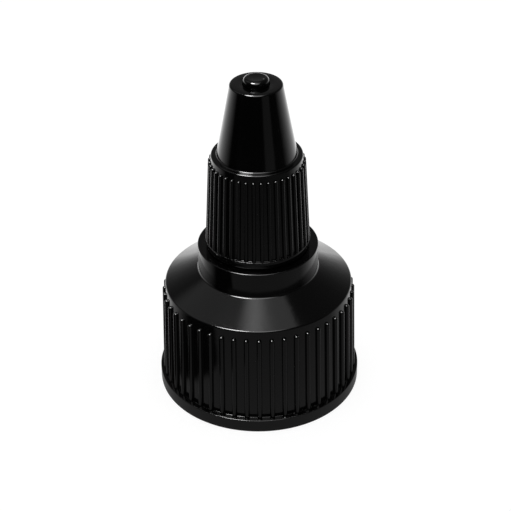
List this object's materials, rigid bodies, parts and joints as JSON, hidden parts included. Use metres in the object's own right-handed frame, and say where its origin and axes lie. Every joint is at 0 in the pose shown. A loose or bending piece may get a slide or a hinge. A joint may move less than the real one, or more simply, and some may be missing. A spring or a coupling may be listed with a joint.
{
  "type": "twist-open dispensing cap",
  "caption": "Black screw cap for a bottle, with a ribbed skirt, sloping shoulder, round collar and a ribbed twist-up nozzle whose orifice is closed by a central stud.",
  "frame": {"origin": "centre of the bottom rim of the base, on the cap's axis", "axes": "+Z along the cap's axis towards the nozzle's tip, which is also the way the tip rises; +X and +Y lie in the plane of the bottom rim"},
  "size_m": [0.028, 0.028, 0.0465],
  "materials": {
    "black_polypropylene": "glossy moulded black polypropylene"
  },
  "bodies": {
    "base": {"cap_base": "black_polypropylene"},
    "tip": {"twist_tip": "black_polypropylene"}
  },
  "joints": [
    {"name": "tip_rise", "type": "slide", "parent": "base", "child": "tip", "axis": [0, 0, 1], "range_m": [0, 0.004]}
  ]
}
